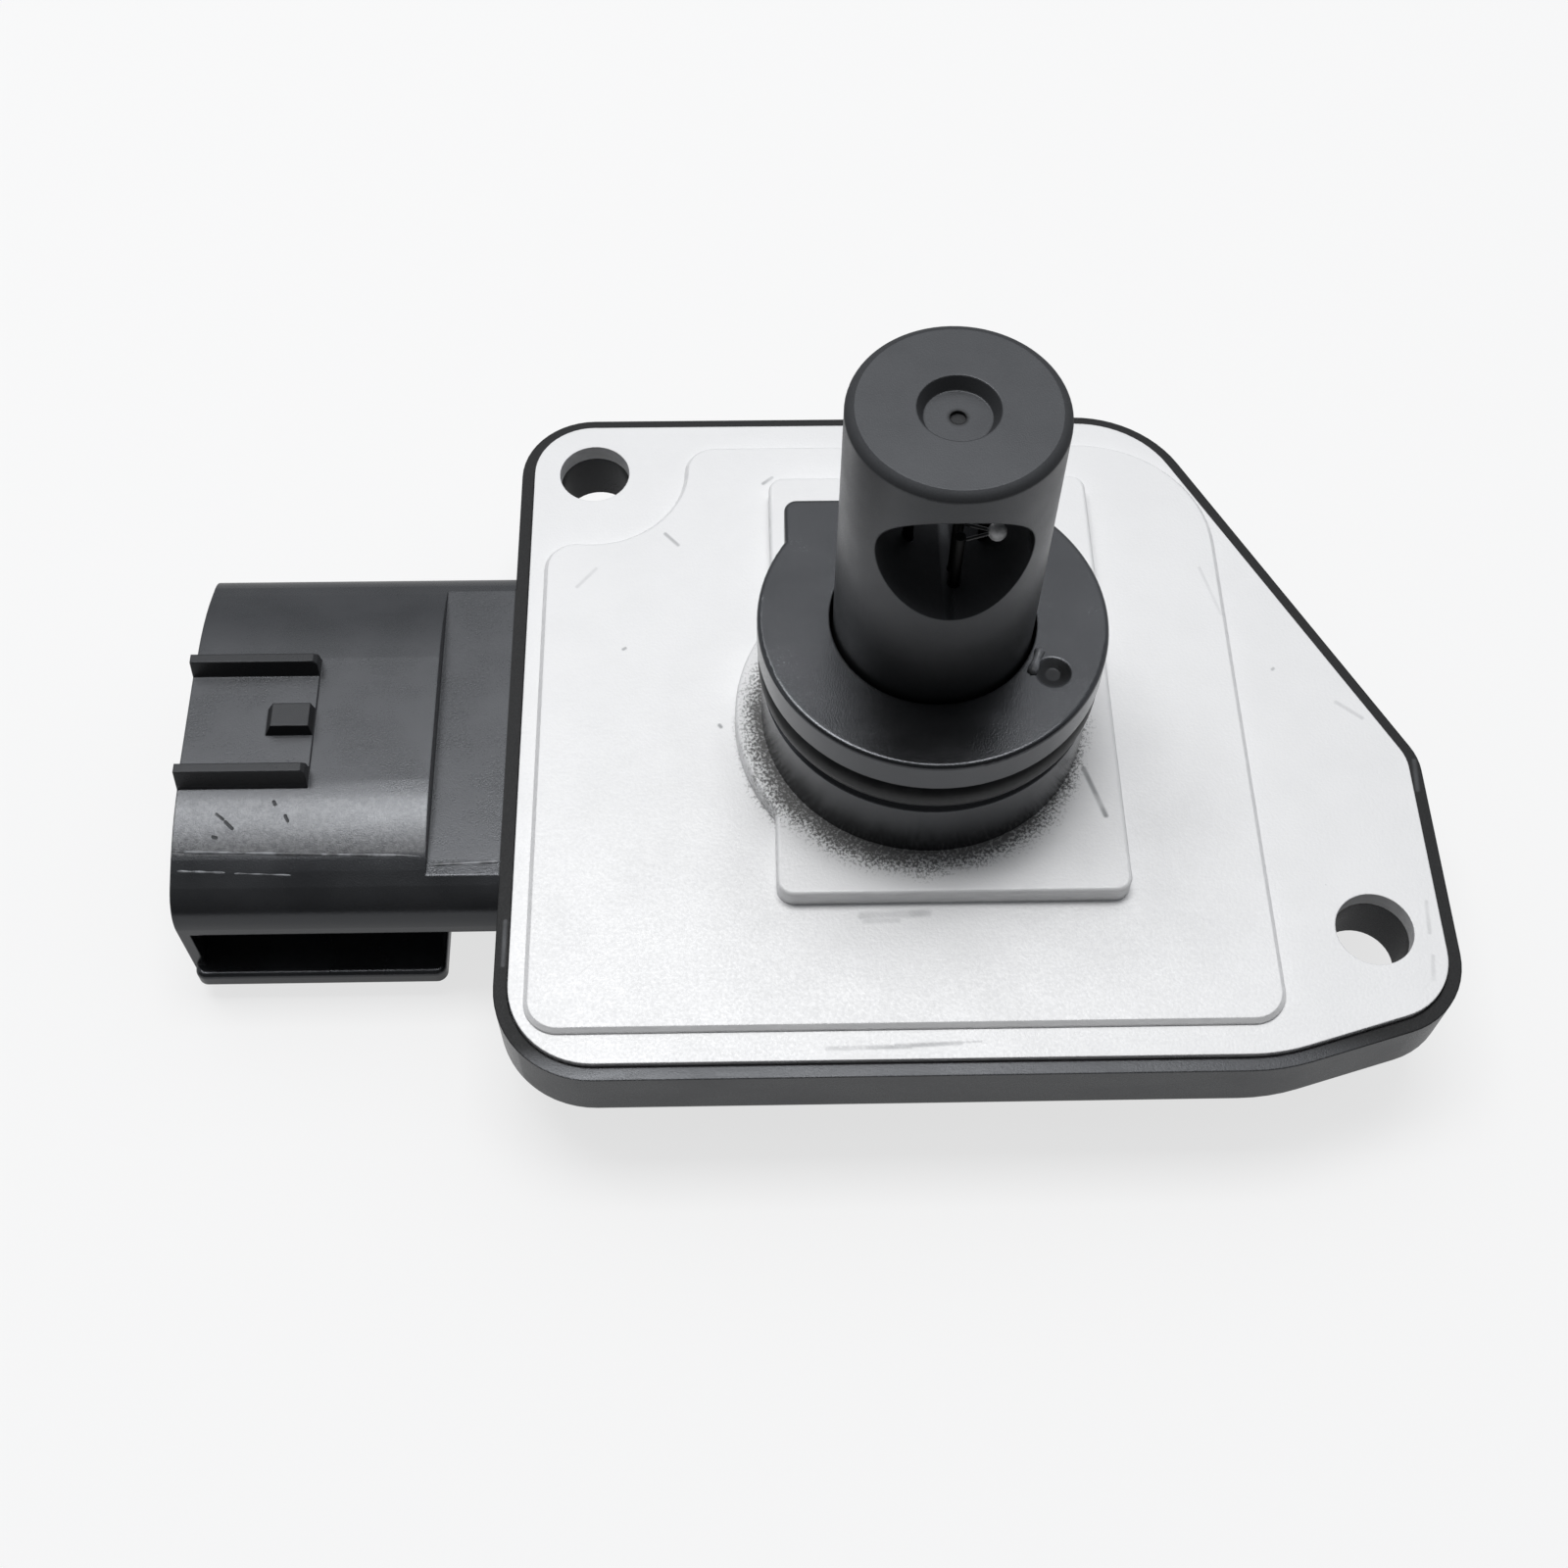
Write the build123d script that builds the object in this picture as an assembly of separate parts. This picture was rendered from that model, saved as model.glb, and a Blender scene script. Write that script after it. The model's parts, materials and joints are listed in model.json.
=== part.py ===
from build123d import *
import os
from math import cos, radians, tan

# Mass airflow sensor of the slot-in kind. Millimetres, +Z up along the probe.
# The origin is on the probe's axis, at the level of the metal plate's mounting face.
# X runs away from the connector and Y away from the viewer.

# Metal base plate
PLATE_LEFT = 29.35
PLATE_RIGHT = 35.65
PLATE_FAR = 28.8
PLATE_NEAR = 26.5
PLATE_THICKNESS = 1.4
SLANT_TOP_X = 19.0
SLANT_FOOT_Y = -3.3
NOSE_FOOT_X = 23.0
NOSE_RISE = 3.7
FAR_LEFT_RADIUS = 4.6
SLANT_TOP_RADIUS = 8.0
SLANT_FOOT_RADIUS = 3.4
NOSE_RADIUS = 5.0
NOSE_FOOT_RADIUS = 14.0
NEAR_LEFT_RADIUS = 6.0

# Raised panel and boss on the plate
PANEL_HEIGHT = 0.5
PANEL_LEFT = 28.2
PANEL_RIGHT = 23.9
PANEL_FAR = 26.35
PANEL_NEAR = 24.35
PANEL_BIG_RADIUS = 10.0
PANEL_RADIUS = 2.4
PANEL_SLOPE = 0.3
EAR_NOTCH_RADIUS = 7.2
BOSS_HEIGHT = 2.0
BOSS_LEFT = 10.8
BOSS_DISC_RADIUS = 13.6
BOSS_RIGHT = 14.0
BOSS_FAR = 21.9
BOSS_NEAR = 15.0
BOSS_CORNER_RADIUS = 1.2
BOSS_EDGE = 0.3

# Bolt holes through the plate and the housing
BOLT_HOLE_RADIUS = 2.75
BOLT_INSET = 4.75
NOSE_BOLT_Y = -17.27

# Moulded housing
RIM_WIDTH = 1.05
RIM_DROP = 0.45
FLANGE_DEPTH = 5.7
HOUSING_EDGE = 0.5
PLATE_CLEARANCE = 0.1
FIT_GAP = 0.03
BOX_INSET = 1.5
BOX_WALL = 1.6
BOARD_SHELF = 1.5
BACK_DEPTH = 12.0
COVER_THICKNESS = 1.5
CORE_DEPTH = 2.6
CORE_WALL = 1.5
BOLT_BOSS_RADIUS = 5.2
CORE_RIB = 1.2
SMALLEST_POCKET = 12.0

# Plug-in connector on the housing's left side
MOUTH_X = -53.6
SHELL_LENGTH = 18.0
SHELL_CENTRE_Y = 0.6
SHELL_WIDTH = 29.9
SHELL_TOP = 1.0
SHELL_BOTTOM = -10.3
CROWN_SETBACK = 9.65
CROWN_RADIUS = 18.0
CROWN_ANGLE = 22.0
SHOULDER_RADIUS = 3.0
SHELL_FOOT_RADIUS = 0.6
SHELL_WALL = 1.6
SOCKET_DEPTH = 15.5
NECK_BOTTOM = -7.0
SIDE_WALL_FOOT = -4.3
SIDE_POCKET_DEPTH = 2.4
MOUTH_WEB = 0.8
BASE_TOP = -9.0
BASE_PROUD = 1.05
BASE_SETBACK = 0.1
BASE_LENGTH = 18.4
BASE_CORNER = 0.8
BASE_EDGE = 0.4
RIB_HEIGHT = 1.6
RIB_TOP_WIDTH = 0.7
RIB_FOOT_WIDTH = 1.7
RIB_LENGTH = 9.3
RIB_CORNER = 0.3
FAR_RIB_Y = 4.9
NEAR_RIB_Y = -4.5
PAD_HEIGHT = 0.25
CATCH_LENGTH = 3.55
CATCH_FOOT_WIDTH = 2.4
CATCH_TOP_WIDTH = 1.95
CATCH_RAMP = 0.65
CATCH_DRAFT = 0.17
CATCH_Y = 0.12
CATCH_HEIGHT = 1.3

# Terminals
TERMINAL_COUNT = 5
TERMINAL_PITCH = 4.5
TERMINAL_WIDTH = 2.3
TERMINAL_THICKNESS = 0.64
TERMINAL_REACH = 10.2
TERMINAL_TIP = 0.5
TERMINAL_LEVEL = -4.0

# Sealing beads
BEAD_WIDTH = 1.1
BEAD_DEPTH = 0.7
BEAD_EDGE = 0.35
COVER_BEAD_WIDTH = 0.7
COVER_BEAD_EDGE = 0.45
COVER_LIP_DEPTH = 1.2
COVER_LIP_WIDTH = 1.3
COVER_LIP_GAP = 0.15

# Spigot bush and its ring seal
FLANGE_RADIUS = 12.0
FLANGE_TOP = 13.71
FLANGE_THICKNESS = 2.8
FLANGE_EDGE = 0.35
KEY_LEFT = 9.95
KEY_FAR = 10.35
KEY_RADIUS = 0.9
LAND_RADIUS = 11.67
GROOVE_HEIGHT = 3.2
GROOVE_RADIUS = 9.4
RING_SECTION = 2.5
STEM_RADIUS = 9.2
BUSH_GAP = 0.25
BUSH_SEAT = 4.0
GATE_X = 7.8
GATE_Y = -4.6
GATE_RADIUS = 1.25
GATE_FLOOR_RADIUS = 0.5
GATE_DEPTH = 0.3

# Probe tube
TUBE_RADIUS = 6.82
TUBE_TOP = 35.0
TUBE_EDGE = 0.6
COLLAR_RADIUS = 11.0
COLLAR_THICKNESS = 1.6
PASSAGE_RADIUS = 4.85
PASSAGE_LEVEL = 27.85
CARRIER_RADIUS = 4.8
CARRIER_TOP = 19.0
CAP_MOUTH_RADIUS = 2.55
CAP_FLOOR_RADIUS = 2.1
CAP_DEPTH = 0.85
CAP_GATE_RADIUS = 0.5
CAP_GATE_DEPTH = 0.25

# Sensing elements and the pins that hold them
PIN_RADIUS = 0.35
ELEMENT_LEVEL = 26.6
ELEMENT_RADIUS = 0.45
ELEMENT_LENGTH = 2.6
LEAD_RADIUS = 0.12
ELEMENT_SPAN = 2.4
HOT_Y = -0.7
COLD_Y = 2.2
AIR_PIN_X = 0.4
AIR_PIN_SPREAD = 0.6
AIR_BEAD_X = 2.75
AIR_BEAD_Y = -3.4
AIR_BEAD_LEVEL = 27.5
AIR_BEAD_RADIUS = 0.6

# Circuit board and what is soldered on it
BOARD_THICKNESS = 1.0
BOARD_CLEARANCE = 0.3
CHIP_HEIGHT = 2.0
CHIP_STAND = 0.2
CHIP_LEG = 0.9
CONTROL_X = 8.0
CONTROL_Y = -7.0
CONTROL_SIZE = 9.0
CONTROL_LEGS = 8
DRIVER_X = -9.0
DRIVER_Y = 7.0
DRIVER_SIZE = 5.0
DRIVER_LEGS = 4
CAPACITOR_COUNT = 3
CAPACITOR_X = -14.0
CAPACITOR_Y = -12.0
CAPACITOR_PITCH = 4.0
CAPACITOR_SIZE = (3.2, 1.6, 1.5)


def bolt_points():
    """Bolt hole centres, one in the ear beside the connector and one in the nose."""
    ear = (BOLT_INSET - PLATE_LEFT, PLATE_FAR - BOLT_INSET)
    nose = (PLATE_RIGHT - BOLT_INSET, NOSE_BOLT_Y)
    return [ear, nose]


def grown_corners(corners, grow):
    """Corners of a convex outline, listed clockwise, with each side moved out by grow."""
    moved = []
    for index, corner in enumerate(corners):
        before = Vector(*corners[index - 1])
        here = Vector(*corner)
        after = Vector(*corners[(index + 1) % len(corners)])
        into = (here - before).normalized()
        out = (after - here).normalized()
        half_turn = into.get_angle(out) / 2
        bisector = (into - out).normalized()
        moved.append(here + bisector * (grow / cos(radians(half_turn))))
    return moved


def rounded_face(corners, rounds, grow=0.0):
    """Flat face with rounded corners, grown or shrunk evenly all round."""
    reach = [max(radius + grow, 0.2) for radius in rounds]
    path = FilletPolyline(*grown_corners(corners, grow), radius=reach, close=True)
    return make_face(path.edges())


def plate_face(grow=0.0):
    """Outline of the base plate: a rectangle with a slanted side and a rounded nose."""
    corners = [
        (-PLATE_LEFT, PLATE_FAR),
        (SLANT_TOP_X, PLATE_FAR),
        (PLATE_RIGHT, SLANT_FOOT_Y),
        (PLATE_RIGHT, NOSE_RISE - PLATE_NEAR),
        (NOSE_FOOT_X, -PLATE_NEAR),
        (-PLATE_LEFT, -PLATE_NEAR),
    ]
    rounds = [
        FAR_LEFT_RADIUS,
        SLANT_TOP_RADIUS,
        SLANT_FOOT_RADIUS,
        NOSE_RADIUS,
        NOSE_FOOT_RADIUS,
        NEAR_LEFT_RADIUS,
    ]
    return rounded_face(corners, rounds, grow)


def box_face(left, right, near, far, radius, grow=0.0):
    """Rectangle between four sides given as coordinates, with rounded corners."""
    corners = [(left, far), (right, far), (right, near), (left, near)]
    return rounded_face(corners, [radius] * len(corners), grow)


def panel_face(grow=0.0):
    """Outline of the raised panel, which steps round the ear's bolt hole in an arc."""
    corners = [
        (-PANEL_LEFT, PANEL_FAR),
        (PANEL_RIGHT, PANEL_FAR),
        (PANEL_RIGHT, -PANEL_NEAR),
        (-PANEL_LEFT, -PANEL_NEAR),
    ]
    rounds = [PANEL_RADIUS, PANEL_BIG_RADIUS, PANEL_RADIUS, PANEL_RADIUS]
    face = rounded_face(corners, rounds, grow)
    ear = bolt_points()[0]
    face -= Pos(*ear) * Circle(EAR_NOTCH_RADIUS - grow)
    horns = face.vertices().sort_by_distance(Vector(*ear))[:2]
    return fillet(horns, max(PANEL_RADIUS + grow, 0.3))


def prism(face, low, high):
    """Straight prism of a flat face between two levels."""
    return extrude(Pos(0, 0, low) * face, high - low, dir=(0, 0, 1))


def post(x, y, radius, low, high):
    """Upright cylinder between two levels."""
    return prism(Pos(x, y) * Circle(radius), low, high)


def block(x_range, y_range, z_range):
    """Box between three pairs of coordinates."""
    size = [high - low for low, high in (x_range, y_range, z_range)]
    centre = [(low + high) / 2 for low, high in (x_range, y_range, z_range)]
    return Pos(*centre) * Box(*size)


def box_grow(shrink=0.0):
    """Growth, against the panel's outline, of the electronics box shrunk by so much."""
    return -BOX_INSET - shrink


def crowned_face(half, top, foot, shoulder_radius, foot_radius, grow=0.0):
    """Section across the connector: a flat crown that slopes off to rounded shoulders."""
    knee = half - CROWN_SETBACK + CROWN_RADIUS * tan(radians(CROWN_ANGLE / 2))
    shoulder = top - (half - knee) * tan(radians(CROWN_ANGLE))
    corners = [
        (-knee, top),
        (knee, top),
        (half, shoulder),
        (half, foot),
        (-half, foot),
        (-half, shoulder),
    ]
    rounds = [CROWN_RADIUS] * 2 + [shoulder_radius, foot_radius, foot_radius, shoulder_radius]
    return Pos(SHELL_CENTRE_Y, 0) * rounded_face(corners, rounds, grow)


def shell_face(shrink=0.0):
    """Connector section in the plane of its mouth, shrunk evenly all round."""
    return crowned_face(SHELL_WIDTH / 2, SHELL_TOP, SHELL_BOTTOM, SHOULDER_RADIUS,
                        SHELL_FOOT_RADIUS, -shrink)


def along_x(face, low, high):
    """Prism along X of a face drawn with Y across and Z up."""
    plane = Plane(origin=(low, 0, 0), x_dir=(0, 1, 0), z_dir=(1, 0, 0))
    return extrude(plane * face, high - low, dir=(1, 0, 0))


def terminal_positions():
    """Y of each terminal's centre."""
    first = SHELL_CENTRE_Y - (TERMINAL_COUNT - 1) / 2 * TERMINAL_PITCH
    return [first + index * TERMINAL_PITCH for index in range(TERMINAL_COUNT)]


def terminal_low():
    """Level of the terminals' underside, on which the board is soldered."""
    return TERMINAL_LEVEL - TERMINAL_THICKNESS / 2


def terminal_end():
    """X where the terminals end over the board."""
    return -PANEL_LEFT + BOX_INSET + BOX_WALL + 2 * BOARD_SHELF


def terminal(y):
    """Flat blade with a tapered tip, from the connector's socket to the board."""
    tip = MOUTH_X + SOCKET_DEPTH - TERMINAL_REACH
    half = TERMINAL_WIDTH / 2
    blade = block((tip, terminal_end()), (y - half, y + half),
                  (terminal_low(), terminal_low() + TERMINAL_THICKNESS))
    nose = blade.edges().filter_by(Axis.Z).group_by(Axis.X)[0]
    return chamfer(nose, TERMINAL_TIP)


def connector_shell():
    """Outside of the connector: shell, neck, base, ribs, catch and the pockets in its sides."""
    shell_end = MOUTH_X + SHELL_LENGTH
    box_end = BOX_INSET + BOX_WALL / 2 - PANEL_LEFT
    solid = along_x(shell_face(), MOUTH_X, shell_end)
    neck = along_x(shell_face(), shell_end, box_end)
    neck &= block((shell_end, box_end), (-SHELL_WIDTH, SHELL_WIDTH), (NECK_BOTTOM, -RIM_DROP))
    solid += neck
    for pocket in side_pockets():
        solid -= pocket
    solid += connector_base()
    solid += block((MOUTH_X, rib_end()), (NEAR_RIB_Y, FAR_RIB_Y),
                   (crown_root(), SHELL_TOP + PAD_HEIGHT))
    for y in (FAR_RIB_Y, NEAR_RIB_Y):
        solid += rib(y)
    return solid + catch()


def side_pockets(wall=0.0):
    """Pockets under the shell's side walls, closed at the mouth, grown by a wall."""
    half = SHELL_WIDTH / 2
    depth = SIDE_POCKET_DEPTH + wall
    middles = (SHELL_CENTRE_Y - half, SHELL_CENTRE_Y + half)
    start = MOUTH_X if wall else MOUTH_X + MOUTH_WEB
    return [block((start, BOX_INSET - PANEL_LEFT), (middle - depth, middle + depth),
                  (SHELL_BOTTOM, SIDE_WALL_FOOT + wall)) for middle in middles]


def connector_base():
    """Flat base under the shell, a little wider than its walls, with rounded corners."""
    half = SHELL_WIDTH / 2 + BASE_PROUD
    start = MOUTH_X + BASE_SETBACK
    outline = box_face(start, start + BASE_LENGTH, SHELL_CENTRE_Y - half, SHELL_CENTRE_Y + half,
                       BASE_CORNER)
    base = prism(outline, SHELL_BOTTOM, BASE_TOP)
    return fillet(base.edges().group_by(Axis.Z)[-1], BASE_EDGE)


def crown_root():
    """Level inside the shell's wall where what stands on the crown begins."""
    return SHELL_TOP - SHELL_WALL / 2


def connector_socket():
    """Hollow of the connector, with the same wall round it and round the side pockets."""
    hollow = along_x(shell_face(SHELL_WALL), MOUTH_X, MOUTH_X + SOCKET_DEPTH)
    for pocket in side_pockets(SHELL_WALL):
        hollow -= pocket
    return hollow


def rib_end():
    """X where the ribs, the pad between them and the catch all end."""
    return MOUTH_X + RIB_LENGTH


def nub_face(start, end, start_draft, end_draft, height):
    """Side view of what stands on the crown, with a slope at each end."""
    return make_face(Polyline(
        (start, crown_root()),
        (start, SHELL_TOP),
        (start + start_draft, SHELL_TOP + height),
        (end - end_draft, SHELL_TOP + height),
        (end, SHELL_TOP),
        (end, crown_root()),
        close=True,
    ).edges())


def rib(y):
    """Guide rib along the crown, narrower at its top, with a broken corner at its end."""
    draft = (RIB_FOOT_WIDTH - RIB_TOP_WIDTH) / 2
    section = nub_face(y - RIB_FOOT_WIDTH / 2, y + RIB_FOOT_WIDTH / 2, draft, draft, RIB_HEIGHT)
    bar = along_x(section, MOUTH_X, rib_end())
    corner = bar.edges().group_by(Axis.X)[-1].sort_by(Axis.Z)[-1]
    return chamfer(corner, RIB_CORNER)


def catch():
    """Latch nub: a low block with a ramp that faces the mouth and drafted sides."""
    ramp = nub_face(rib_end() - CATCH_LENGTH, rib_end(), CATCH_RAMP, CATCH_DRAFT, CATCH_HEIGHT)
    long = extrude(Plane.XZ * ramp, CATCH_FOOT_WIDTH, both=True)
    draft = (CATCH_FOOT_WIDTH - CATCH_TOP_WIDTH) / 2
    across = nub_face(-CATCH_FOOT_WIDTH / 2, CATCH_FOOT_WIDTH / 2, draft, draft, CATCH_HEIGHT)
    return Pos(0, CATCH_Y, 0) * (long & along_x(across, MOUTH_X, rib_end()))


def board_top():
    """Level of the board's upper face, flush with the terminals' underside."""
    return terminal_low()


def board_foot():
    """Level of the board's lower face, which carries the chips."""
    return board_top() - BOARD_THICKNESS


def cover_top():
    """Level where the rear cover closes the electronics box."""
    return COVER_THICKNESS - BACK_DEPTH


def back_pockets():
    """Cored pockets in the back of the nose, with ribs across them."""
    nose = bolt_points()[1]
    pocket = plate_face(RIM_WIDTH - CORE_WALL)
    pocket -= panel_face(box_grow(-CORE_WALL))
    for point in bolt_points():
        pocket -= Pos(*point) * Circle(BOLT_BOSS_RADIUS)
    span = PLATE_LEFT + PLATE_RIGHT
    for level in (nose[1], SLANT_FOOT_Y, PANEL_FAR - PANEL_BIG_RADIUS):
        pocket -= Pos(nose[0], level) * Rectangle(span, CORE_RIB)
    in_nose = [face for face in pocket.faces() if face.center().X > PANEL_RIGHT - BOX_INSET]
    wide = [face for face in in_nose if face.area > SMALLEST_POCKET]
    return [prism(face, -FLANGE_DEPTH, CORE_DEPTH - FLANGE_DEPTH) for face in wide]


def housing():
    """Black moulding: flange and rim, electronics box and connector, in one piece."""
    flange = prism(plate_face(RIM_WIDTH), -FLANGE_DEPTH, -RIM_DROP)
    flange = fillet(flange.edges().group_by(Axis.Z)[0], HOUSING_EDGE)
    solid = flange + prism(panel_face(box_grow()), cover_top(), -FLANGE_DEPTH / 2)
    solid += connector_shell()
    solid -= prism(plate_face(PLATE_CLEARANCE), -PLATE_THICKNESS, 0)
    solid -= prism(panel_face(box_grow(BOX_WALL + BOARD_SHELF)), board_top(), 0)
    solid -= prism(panel_face(box_grow(BOX_WALL)), cover_top(), board_top())
    solid -= plate_bead()
    solid -= cover_bead()
    solid -= connector_socket()
    for y in terminal_positions():
        solid -= terminal(y)
    for x, y in bolt_points():
        solid -= post(x, y, BOLT_HOLE_RADIUS, -FLANGE_DEPTH, 0)
    for pocket in back_pockets():
        solid -= pocket
    return solid


def base_plate():
    """Cast plate with its raised panel, the boss under the bush and two bolt holes."""
    panel = prism(panel_face(), -PLATE_THICKNESS / 2, PANEL_HEIGHT)
    panel = chamfer(panel.edges().group_by(Axis.Z)[-1], PANEL_SLOPE)
    outline = box_face(-BOSS_LEFT, BOSS_RIGHT, -BOSS_NEAR, BOSS_FAR, BOSS_CORNER_RADIUS)
    outline += Circle(BOSS_DISC_RADIUS)
    boss = prism(outline, -PLATE_THICKNESS / 2, BOSS_HEIGHT)
    boss = fillet(boss.edges().group_by(Axis.Z)[-1], BOSS_EDGE)
    solid = prism(plate_face(), -PLATE_THICKNESS, 0) + panel + boss
    solid -= post(0, 0, STEM_RADIUS + FIT_GAP, -PLATE_THICKNESS, BOSS_HEIGHT)
    for x, y in bolt_points():
        solid -= post(x, y, BOLT_HOLE_RADIUS, -PLATE_THICKNESS, 0)
    return solid


def bead(inset, width, low, high):
    """Closed bead of sealant that follows the electronics box's wall."""
    ring = panel_face(box_grow(inset)) - panel_face(box_grow(inset + width))
    return prism(ring, low, high)


def plate_bead():
    """Bead in the groove under the base plate."""
    return bead(BEAD_EDGE, BEAD_WIDTH, -PLATE_THICKNESS - BEAD_DEPTH, -PLATE_THICKNESS)


def cover_bead():
    """Bead in the groove in the end of the box's wall."""
    return bead(COVER_BEAD_EDGE, COVER_BEAD_WIDTH, cover_top(), cover_top() + BEAD_DEPTH)


def rear_cover():
    """Flat cover that the sensor rests on, with a lip that locates in the box."""
    lid = prism(panel_face(box_grow()), -BACK_DEPTH, cover_top())
    lid = fillet(lid.edges().group_by(Axis.Z)[0], HOUSING_EDGE)
    lip = bead(BOX_WALL + COVER_LIP_GAP, COVER_LIP_WIDTH,
               cover_top() - COVER_THICKNESS / 2, cover_top() + COVER_LIP_DEPTH)
    return lid + lip


def groove_floor():
    """Level of the lower side of the ring seal's groove."""
    return FLANGE_TOP - FLANGE_THICKNESS - GROOVE_HEIGHT


def spigot_bush():
    """Bush round the probe: flange with its key corner, groove, land and stem."""
    flange_low = FLANGE_TOP - FLANGE_THICKNESS
    outline = Circle(FLANGE_RADIUS) + rounded_face(
        [(-KEY_LEFT, KEY_FAR), (0, KEY_FAR), (0, 0), (-KEY_LEFT, 0)],
        [KEY_RADIUS, 0, 0, 0],
    )
    flange = prism(outline, flange_low, FLANGE_TOP)
    flange = fillet(flange.edges().group_by(Axis.Z)[-1], FLANGE_EDGE)
    flange = chamfer(flange.edges().group_by(Axis.Z)[0], FLANGE_EDGE / 2)
    solid = flange + post(0, 0, GROOVE_RADIUS, groove_floor(), flange_low)
    land = post(0, 0, LAND_RADIUS, BOSS_HEIGHT, groove_floor())
    solid += chamfer(land.edges().group_by(Axis.Z)[-1], FLANGE_EDGE)
    solid += post(0, 0, STEM_RADIUS, -PLATE_THICKNESS, BOSS_HEIGHT)
    solid -= post(0, 0, TUBE_RADIUS + FIT_GAP, -PLATE_THICKNESS, BUSH_SEAT)
    solid -= post(0, 0, TUBE_RADIUS + BUSH_GAP, BUSH_SEAT, FLANGE_TOP)
    dimple = Cone(GATE_FLOOR_RADIUS, GATE_RADIUS, GATE_DEPTH)
    solid -= Pos(GATE_X, GATE_Y, FLANGE_TOP - GATE_DEPTH / 2) * dimple
    return solid


def ring_seal():
    """Rubber ring that lies on the lower side of the bush's groove."""
    half = RING_SECTION / 2
    return Pos(0, 0, groove_floor() + FIT_GAP + half) * Torus(GROOVE_RADIUS + FIT_GAP + half, half)


def collar_low():
    """Level of the underside of the tube's collar."""
    return -PLATE_THICKNESS - COLLAR_THICKNESS


def probe_tube():
    """Probe tube with the round air passage across it and the recess in its cap."""
    tube = post(0, 0, TUBE_RADIUS, collar_low(), TUBE_TOP)
    solid = fillet(tube.edges().group_by(Axis.Z)[-1], TUBE_EDGE)
    solid += post(0, 0, COLLAR_RADIUS, collar_low(), -PLATE_THICKNESS)
    solid -= post(0, 0, CARRIER_RADIUS, collar_low(), CARRIER_TOP)
    passage = Pos(0, 0, PASSAGE_LEVEL) * Rot(90, 0, 0) * Cylinder(PASSAGE_RADIUS, 4 * TUBE_RADIUS)
    solid -= passage
    recess = Cone(CAP_FLOOR_RADIUS, CAP_MOUTH_RADIUS, CAP_DEPTH)
    solid -= Pos(0, 0, TUBE_TOP - CAP_DEPTH / 2) * recess
    cap_floor = TUBE_TOP - CAP_DEPTH
    solid -= post(0, 0, CAP_GATE_RADIUS, cap_floor - CAP_GATE_DEPTH, cap_floor)
    for x, y in pin_places().values():
        solid -= post(x, y, PIN_RADIUS + FIT_GAP, CARRIER_TOP, PASSAGE_LEVEL)
    return solid


def pin_places():
    """X and Y of each sensing pin."""
    return {
        "hot_pin_left": (-ELEMENT_SPAN, HOT_Y),
        "hot_pin_right": (ELEMENT_SPAN, HOT_Y),
        "cold_pin_left": (-ELEMENT_SPAN, COLD_Y),
        "cold_pin_right": (ELEMENT_SPAN, COLD_Y),
        "air_pin_front": (AIR_PIN_X, AIR_BEAD_Y - AIR_PIN_SPREAD),
        "air_pin_back": (AIR_PIN_X, AIR_BEAD_Y + AIR_PIN_SPREAD),
    }


def sensing_pin(name):
    """Straight pin from the board up into the air passage."""
    x, y = pin_places()[name]
    level = AIR_BEAD_LEVEL if name.startswith("air") else ELEMENT_LEVEL
    return post(x, y, PIN_RADIUS, board_top(), level + PIN_RADIUS)


def pin_carrier():
    """Moulded core that holds the pins, with a foot between the board and the collar."""
    solid = post(0, 0, CARRIER_RADIUS - FIT_GAP, board_top(), CARRIER_TOP)
    solid += post(0, 0, TUBE_RADIUS, board_top(), collar_low())
    for x, y in pin_places().values():
        solid -= post(x, y, PIN_RADIUS + FIT_GAP, board_top(), CARRIER_TOP)
    return solid


def rod(start, end, radius):
    """Round rod between two points."""
    run = Vector(*end) - Vector(*start)
    return extrude(Plane(origin=start, z_dir=run) * Circle(radius), run.length)


def element(y):
    """Coated resistor between two pins, on its own leads."""
    body = rod((-ELEMENT_LENGTH / 2, y, ELEMENT_LEVEL), (ELEMENT_LENGTH / 2, y, ELEMENT_LEVEL),
               ELEMENT_RADIUS)
    body = chamfer(body.edges(), ELEMENT_RADIUS / 3)
    reach = ELEMENT_SPAN - PIN_RADIUS
    return body + rod((-reach, y, ELEMENT_LEVEL), (reach, y, ELEMENT_LEVEL), LEAD_RADIUS)


def air_bead():
    """Glass bead that reads the air's temperature, on two leads."""
    centre = (AIR_BEAD_X, AIR_BEAD_Y, AIR_BEAD_LEVEL)
    solid = Pos(*centre) * Sphere(AIR_BEAD_RADIUS)
    for side in (-1, 1):
        start = (AIR_PIN_X + PIN_RADIUS, AIR_BEAD_Y + side * AIR_PIN_SPREAD, AIR_BEAD_LEVEL)
        solid += rod(start, centre, LEAD_RADIUS)
    return solid


def circuit_board():
    """Board that closes the upper half of the box and takes terminals and pins."""
    return prism(panel_face(box_grow(BOX_WALL + BOARD_CLEARANCE)), board_foot(), board_top())


def chip(x, y, size, height, legs):
    """Flat chip under the board, with a row of legs along two of its sides."""
    body = block((x - size / 2, x + size / 2), (y - size / 2, y + size / 2),
                 (board_foot() - height, board_foot() - CHIP_STAND))
    body = chamfer(body.edges().group_by(Axis.Z)[0], height / 8)
    pitch = size / legs
    for index in range(legs):
        leg_y = y + (index - (legs - 1) / 2) * pitch
        for side in (-1, 1):
            root = x + side * size / 2
            tip = root + side * CHIP_LEG
            body += block((min(root, tip), max(root, tip)), (leg_y - pitch / 4, leg_y + pitch / 4),
                          (board_foot() - CHIP_STAND * 2, board_foot()))
    return body


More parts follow.
